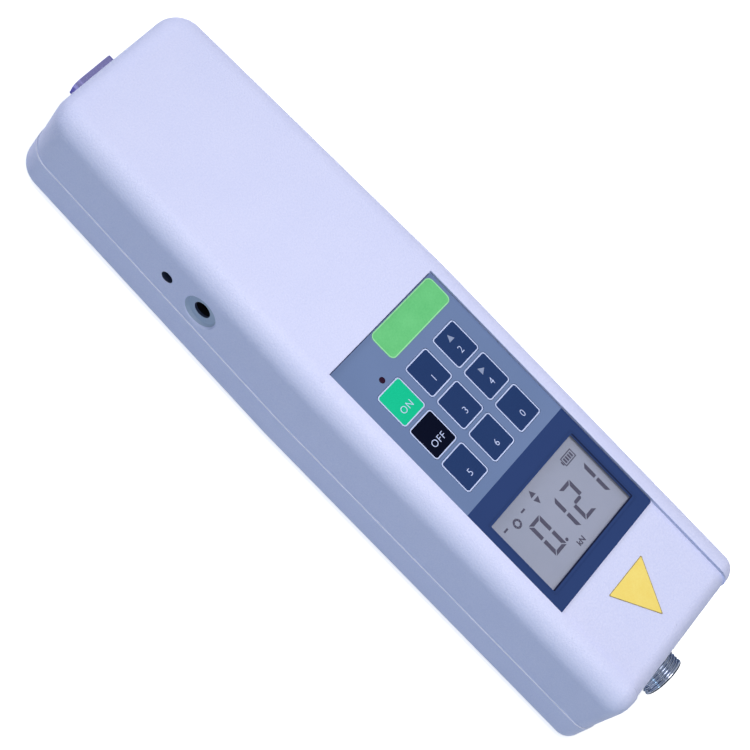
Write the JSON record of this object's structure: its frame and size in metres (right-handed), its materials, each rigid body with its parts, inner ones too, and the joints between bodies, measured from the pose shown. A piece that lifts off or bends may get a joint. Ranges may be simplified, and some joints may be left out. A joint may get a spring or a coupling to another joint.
{
  "type": "digital force gauge",
  "caption": "Handheld digital force gauge: two-shell case with a film keypad, a numeric display, and sockets for an outside force sensor, charger and serial lead.",
  "frame": {"origin": "centre of the whole gauge's outline, sockets included, on the flat back that it lies on", "axes": "+Z out of the face with the keys and display, +Y towards the serial plug, -Y towards the sensor socket, +X to the right when reading the display"},
  "size_m": [0.066, 0.2424, 0.0368],
  "materials": {
    "case_plastic": "moulded ABS, pale lavender blue, fine spark-eroded texture",
    "overlay_film": "printed polycarbonate film, grey-blue with a navy frame",
    "key_green": "printed film, green, light outline",
    "key_black": "printed film, near black, light outline",
    "key_navy": "printed film, navy, light outline",
    "window_film": "clear film over the display",
    "lcd": "grey liquid crystal glass with dark segments",
    "reflector": "bright backing sheet",
    "frame_plastic": "moulded grey plastic",
    "contact_rubber": "layered conductive rubber",
    "board_laminate": "green solder mask on glass laminate",
    "chip_black": "moulded black epoxy",
    "header_white": "moulded off-white nylon",
    "zinc_steel": "zinc-plated steel",
    "nickel_plate": "bright nickel plating",
    "gold_contact": "gold-plated brass",
    "black_insulator": "moulded black thermoplastic",
    "switch_plastic": "moulded black plastic with a steel cover",
    "stem_plastic": "moulded black plastic",
    "led_red": "dark red epoxy, unlit",
    "lead_sheath": "soft grey vinyl",
    "ribbon_grey": "grey vinyl ribbon cable",
    "cell_can": null,
    "shrink_wrap": "blue shrink sleeve",
    "foam": "black foam",
    "sticker_green": "bare green vinyl sticker",
    "sticker_yellow": "bare yellow vinyl sticker"
  },
  "bodies": {
    "case": {"front_cover": "case_plastic", "rear_cover": "case_plastic", "keypad_overlay": "overlay_film", "switch_bodies": "switch_plastic", "display_window": "window_film", "lcd_glass": "lcd", "lcd_reflector": "reflector", "lcd_frame": "frame_plastic", "lcd_contact_strips": "contact_rubber", "main_board": "board_laminate", "main_board_chips": "chip_black", "power_board": "board_laminate", "power_board_parts": "chip_black", "board_screws": "zinc_steel", "board_headers": "header_white", "status_led": "led_red", "led_window": "led_red", "reset_switch_body": "switch_plastic", "power_socket_body": "black_insulator", "power_socket_pin": "nickel_plate", "serial_shell": "nickel_plate", "serial_insulator": "black_insulator", "serial_pins": "gold_contact", "serial_screws": "nickel_plate", "serial_nuts": "zinc_steel", "serial_ribbon": "ribbon_grey", "sensor_socket_shell": "nickel_plate", "sensor_socket_insulator": "black_insulator", "sensor_socket_pins": "gold_contact", "sensor_lead": "lead_sheath", "battery_cells": "cell_can", "battery_wrap": "shrink_wrap", "battery_pad": "foam", "battery_lead": "lead_sheath", "link_ribbon": "ribbon_grey", "case_screws": "zinc_steel", "name_sticker": "sticker_green", "marker_sticker": "sticker_yellow"},
    "on_key": {"key_on": "key_green", "switch_stem_on": "stem_plastic"},
    "set_key": {"key_set": "key_navy", "switch_stem_set": "stem_plastic"},
    "send_key": {"key_send": "key_navy", "switch_stem_send": "stem_plastic"},
    "off_key": {"key_off": "key_black", "switch_stem_off": "stem_plastic"},
    "unit_key": {"key_unit": "key_navy", "switch_stem_unit": "stem_plastic"},
    "store_key": {"key_store": "key_navy", "switch_stem_store": "stem_plastic"},
    "data_key": {"key_data": "key_navy", "switch_stem_data": "stem_plastic"},
    "peak_key": {"key_peak": "key_navy", "switch_stem_peak": "stem_plastic"},
    "zero_key": {"key_zero": "key_navy", "switch_stem_zero": "stem_plastic"},
    "reset_button": {"reset_stem": "stem_plastic"}
  },
  "joints": [
    {"name": "on_key_press", "type": "slide", "parent": "case", "child": "on_key", "axis": [0, 0, -1], "range_m": [0, 0.00035], "stiffness_N_per_m": 4000},
    {"name": "set_key_press", "type": "slide", "parent": "case", "child": "set_key", "axis": [0, 0, -1], "range_m": [0, 0.00035], "stiffness_N_per_m": 4000},
    {"name": "send_key_press", "type": "slide", "parent": "case", "child": "send_key", "axis": [0, 0, -1], "range_m": [0, 0.00035], "stiffness_N_per_m": 4000},
    {"name": "off_key_press", "type": "slide", "parent": "case", "child": "off_key", "axis": [0, 0, -1], "range_m": [0, 0.00035], "stiffness_N_per_m": 4000},
    {"name": "unit_key_press", "type": "slide", "parent": "case", "child": "unit_key", "axis": [0, 0, -1], "range_m": [0, 0.00035], "stiffness_N_per_m": 4000},
    {"name": "store_key_press", "type": "slide", "parent": "case", "child": "store_key", "axis": [0, 0, -1], "range_m": [0, 0.00035], "stiffness_N_per_m": 4000},
    {"name": "data_key_press", "type": "slide", "parent": "case", "child": "data_key", "axis": [0, 0, -1], "range_m": [0, 0.00035], "stiffness_N_per_m": 4000},
    {"name": "peak_key_press", "type": "slide", "parent": "case", "child": "peak_key", "axis": [0, 0, -1], "range_m": [0, 0.00035], "stiffness_N_per_m": 4000},
    {"name": "zero_key_press", "type": "slide", "parent": "case", "child": "zero_key", "axis": [0, 0, -1], "range_m": [0, 0.00035], "stiffness_N_per_m": 4000},
    {"name": "reset_press", "type": "slide", "parent": "case", "child": "reset_button", "axis": [1, 0, 0], "range_m": [0, 0.0003], "stiffness_N_per_m": 4000}
  ]
}
